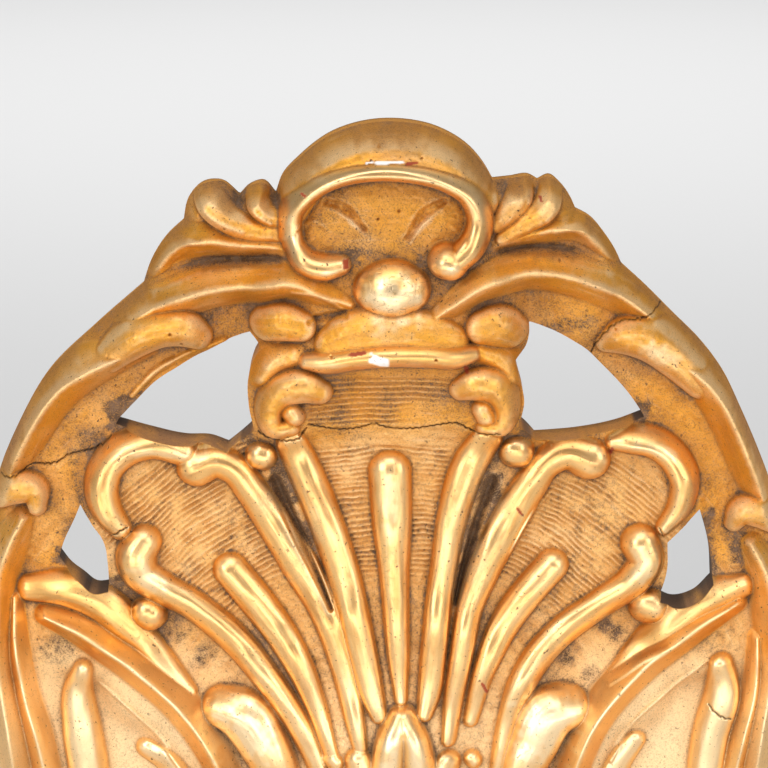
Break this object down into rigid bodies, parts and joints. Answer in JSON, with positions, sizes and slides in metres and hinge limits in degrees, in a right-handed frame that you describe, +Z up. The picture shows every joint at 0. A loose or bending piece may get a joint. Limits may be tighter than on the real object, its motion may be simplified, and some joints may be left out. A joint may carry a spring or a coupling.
{
  "type": "carved cornice",
  "caption": "Carved and pierced giltwood cresting for a cornice or frame, with a scallop shell under a scrolled crown.",
  "frame": {"origin": "on the flat back, on the centre line, behind the middle of the shell", "axes": "+X across the crest to the viewer's right, +Y out of the flat back towards what it is fixed to, +Z up"},
  "size_m": [0.3271, 0.0497, 0.2866],
  "materials": {
    "gilding": "gold leaf over red bole and gesso on carved limewood, burnished on the rolls, matte and toned in the ground"
  },
  "bodies": {
    "root": {"carved_crest": "gilding"}
  },
  "joints": []
}
